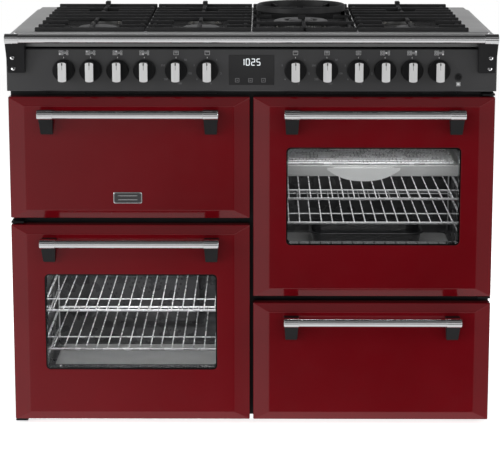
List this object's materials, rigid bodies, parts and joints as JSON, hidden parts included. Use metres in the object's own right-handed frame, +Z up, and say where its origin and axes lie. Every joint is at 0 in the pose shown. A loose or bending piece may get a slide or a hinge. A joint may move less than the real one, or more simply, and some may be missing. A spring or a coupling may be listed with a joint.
{
  "type": "freestanding gas range",
  "caption": "Wide freestanding gas range with knob fascia, front rail, drop-down grill door, side-hung oven doors and a storage drawer.",
  "frame": {"origin": "on the floor under the middle of the bounding box", "axes": "+X to the right seen from the front, +Y to the back, +Z up"},
  "size_m": [1.1, 0.654, 0.951],
  "materials": {
    "red_enamel": "gloss vitreous enamel",
    "fascia_enamel": "satin anthracite",
    "black_enamel": "semi-gloss black",
    "bright_bar": "polished",
    "black_bracket": "satin black",
    "hob_steel": "satin",
    "cast_iron": "matt enamelled",
    "burner_alloy": "cast and turned",
    "cap_enamel": "gloss black enamel",
    "clear_glass": "polished",
    "display_black": "smoked, opaque",
    "oven_enamel": "grey oven enamel",
    "plated_wire": "bright plated wire",
    "zinc_steel": "zinc coated sheet",
    "gas_alloy": "as cast",
    "element_steel": "heat darkened",
    "foot_plastic": "moulded black",
    "knob_metal": "satin grip on a black skirt",
    "button_black": "gloss"
  },
  "bodies": {
    "root": {"back_panel": "zinc_steel", "base_frame": "zinc_steel", "burner_bodies": "burner_alloy", "burner_caps": "cap_enamel", "control_gear": "gas_alloy", "display_glass": "display_black", "fan_housing": "oven_enamel", "fascia_panel": "fascia_enamel", "front_frame": "black_enamel", "front_rail": "bright_bar", "grill_liner": "oven_enamel", "grill_pan": "oven_enamel", "heating_elements": "element_steel", "hinge_brackets": "black_bracket", "hob_tray": "hob_steel", "left_oven_liner": "oven_enamel", "levelling_feet": "foot_plastic", "main_oven_liner": "oven_enamel", "oven_racks": "plated_wire", "pan_supports": "cast_iron", "rack_ladders": "plated_wire", "rail_brackets": "black_bracket", "roasting_dish": "oven_enamel", "side_panels": "black_enamel"},
    "grill_door": {"grill_door_panel": "red_enamel", "grill_door_liner": "black_enamel", "grill_door_handle": "bright_bar"},
    "left_oven_door": {"left_door_panel": "red_enamel", "left_door_glass": "clear_glass", "left_door_liner": "black_enamel", "left_door_handle": "bright_bar"},
    "main_oven_door": {"main_door_panel": "red_enamel", "main_door_glass": "clear_glass", "main_door_liner": "black_enamel", "main_door_handle": "bright_bar"},
    "drawer": {"drawer_front": "red_enamel", "drawer_box": "zinc_steel", "drawer_handle": "bright_bar"},
    "wok_ring": {"wok_ring": "cast_iron"},
    "ignition_button": {"ignition_button": "button_black"},
    "oven_fan": {"oven_fan": "gas_alloy"},
    "tap_spindle_1": {"tap_spindle_1": "gas_alloy"},
    "hob_knob_1": {"hob_knob_1": "knob_metal"},
    "tap_spindle_2": {"tap_spindle_2": "gas_alloy"},
    "hob_knob_2": {"hob_knob_2": "knob_metal"},
    "tap_spindle_3": {"tap_spindle_3": "gas_alloy"},
    "hob_knob_3": {"hob_knob_3": "knob_metal"},
    "tap_spindle_4": {"tap_spindle_4": "gas_alloy"},
    "hob_knob_4": {"hob_knob_4": "knob_metal"},
    "tap_spindle_5": {"tap_spindle_5": "gas_alloy"},
    "hob_knob_5": {"hob_knob_5": "knob_metal"},
    "tap_spindle_6": {"tap_spindle_6": "gas_alloy"},
    "hob_knob_6": {"hob_knob_6": "knob_metal"},
    "tap_spindle_7": {"tap_spindle_7": "gas_alloy"},
    "hob_knob_7": {"hob_knob_7": "knob_metal"},
    "left_oven_knob": {"left_oven_knob": "knob_metal"},
    "grill_knob": {"grill_knob": "knob_metal"},
    "main_grill_knob": {"main_grill_knob": "knob_metal"},
    "main_heat_knob": {"main_heat_knob": "knob_metal"},
    "main_mode_knob": {"main_mode_knob": "knob_metal"}
  },
  "joints": [
    {"name": "grill_door_drop", "type": "hinge", "parent": "root", "child": "grill_door", "pos_m": [-0.2765, -0.247, 0.51], "axis": [1, 0, 0], "range_deg": [0, 90]},
    {"name": "left_oven_door_swing", "type": "hinge", "parent": "root", "child": "left_oven_door", "pos_m": [-0.541, -0.249, 0.243], "axis": [0, 0, -1], "range_deg": [0, 110]},
    {"name": "main_oven_door_swing", "type": "hinge", "parent": "root", "child": "main_oven_door", "pos_m": [0.541, -0.249, 0.538], "axis": [0, 0, 1], "range_deg": [0, 110]},
    {"name": "drawer_slide", "type": "slide", "parent": "root", "child": "drawer", "axis": [0, -1, 0], "range_m": [0, 0.36]},
    {"name": "wok_ring_lift", "type": "slide", "parent": "root", "child": "wok_ring", "axis": [0, 0, 1], "range_m": [0, 0.08]},
    {"name": "ignition_button_push", "type": "slide", "parent": "root", "child": "ignition_button", "axis": [0, 1, 0], "range_m": [0, 0.0025], "stiffness_N_per_m": 500, "springref_m": -0.002},
    {"name": "oven_fan_spin", "type": "hinge", "parent": "root", "child": "oven_fan", "pos_m": [-0.2765, 0.236, 0.245], "axis": [0, -1, 0], "continuous": true},
    {"name": "tap_spindle_1_push", "type": "slide", "parent": "root", "child": "tap_spindle_1", "axis": [0, 1, 0], "range_m": [0, 0.004], "stiffness_N_per_m": 800, "springref_m": -0.004},
    {"name": "hob_knob_1_turn", "type": "hinge", "parent": "tap_spindle_1", "child": "hob_knob_1", "pos_m": [-0.421, -0.285, 0.831], "axis": [0, -1, 0], "range_deg": [0, 210]},
    {"name": "tap_spindle_2_push", "type": "slide", "parent": "root", "child": "tap_spindle_2", "axis": [0, 1, 0], "range_m": [0, 0.004], "stiffness_N_per_m": 800, "springref_m": -0.004},
    {"name": "hob_knob_2_turn", "type": "hinge", "parent": "tap_spindle_2", "child": "hob_knob_2", "pos_m": [-0.3605, -0.285, 0.831], "axis": [0, -1, 0], "range_deg": [0, 210]},
    {"name": "tap_spindle_3_push", "type": "slide", "parent": "root", "child": "tap_spindle_3", "axis": [0, 1, 0], "range_m": [0, 0.004], "stiffness_N_per_m": 800, "springref_m": -0.004},
    {"name": "hob_knob_3_turn", "type": "hinge", "parent": "tap_spindle_3", "child": "hob_knob_3", "pos_m": [-0.3, -0.285, 0.831], "axis": [0, -1, 0], "range_deg": [0, 210]},
    {"name": "tap_spindle_4_push", "type": "slide", "parent": "root", "child": "tap_spindle_4", "axis": [0, 1, 0], "range_m": [0, 0.004], "stiffness_N_per_m": 800, "springref_m": -0.004},
    {"name": "hob_knob_4_turn", "type": "hinge", "parent": "tap_spindle_4", "child": "hob_knob_4", "pos_m": [-0.24, -0.285, 0.831], "axis": [0, -1, 0], "range_deg": [0, 210]},
    {"name": "tap_spindle_5_push", "type": "slide", "parent": "root", "child": "tap_spindle_5", "axis": [0, 1, 0], "range_m": [0, 0.004], "stiffness_N_per_m": 800, "springref_m": -0.004},
    {"name": "hob_knob_5_turn", "type": "hinge", "parent": "tap_spindle_5", "child": "hob_knob_5", "pos_m": [0.299, -0.285, 0.831], "axis": [0, -1, 0], "range_deg": [0, 210]},
    {"name": "tap_spindle_6_push", "type": "slide", "parent": "root", "child": "tap_spindle_6", "axis": [0, 1, 0], "range_m": [0, 0.004], "stiffness_N_per_m": 800, "springref_m": -0.004},
    {"name": "hob_knob_6_turn", "type": "hinge", "parent": "tap_spindle_6", "child": "hob_knob_6", "pos_m": [0.3595, -0.285, 0.831], "axis": [0, -1, 0], "range_deg": [0, 210]},
    {"name": "tap_spindle_7_push", "type": "slide", "parent": "root", "child": "tap_spindle_7", "axis": [0, 1, 0], "range_m": [0, 0.004], "stiffness_N_per_m": 800, "springref_m": -0.004},
    {"name": "hob_knob_7_turn", "type": "hinge", "parent": "tap_spindle_7", "child": "hob_knob_7", "pos_m": [0.42, -0.285, 0.831], "axis": [0, -1, 0], "range_deg": [0, 210]},
    {"name": "left_oven_knob_turn", "type": "hinge", "parent": "root", "child": "left_oven_knob", "pos_m": [-0.169, -0.285, 0.831], "axis": [0, 1, 0], "range_deg": [0, 270]},
    {"name": "grill_knob_turn", "type": "hinge", "parent": "root", "child": "grill_knob", "pos_m": [-0.099, -0.285, 0.831], "axis": [0, 1, 0], "range_deg": [0, 270]},
    {"name": "main_grill_knob_turn", "type": "hinge", "parent": "root", "child": "main_grill_knob", "pos_m": [0.0985, -0.285, 0.831], "axis": [0, 1, 0], "range_deg": [0, 270]},
    {"name": "main_heat_knob_turn", "type": "hinge", "parent": "root", "child": "main_heat_knob", "pos_m": [0.169, -0.285, 0.831], "axis": [0, 1, 0], "range_deg": [0, 270]},
    {"name": "main_mode_knob_turn", "type": "hinge", "parent": "root", "child": "main_mode_knob", "pos_m": [0.2395, -0.285, 0.831], "axis": [0, 1, 0], "range_deg": [0, 270]}
  ]
}
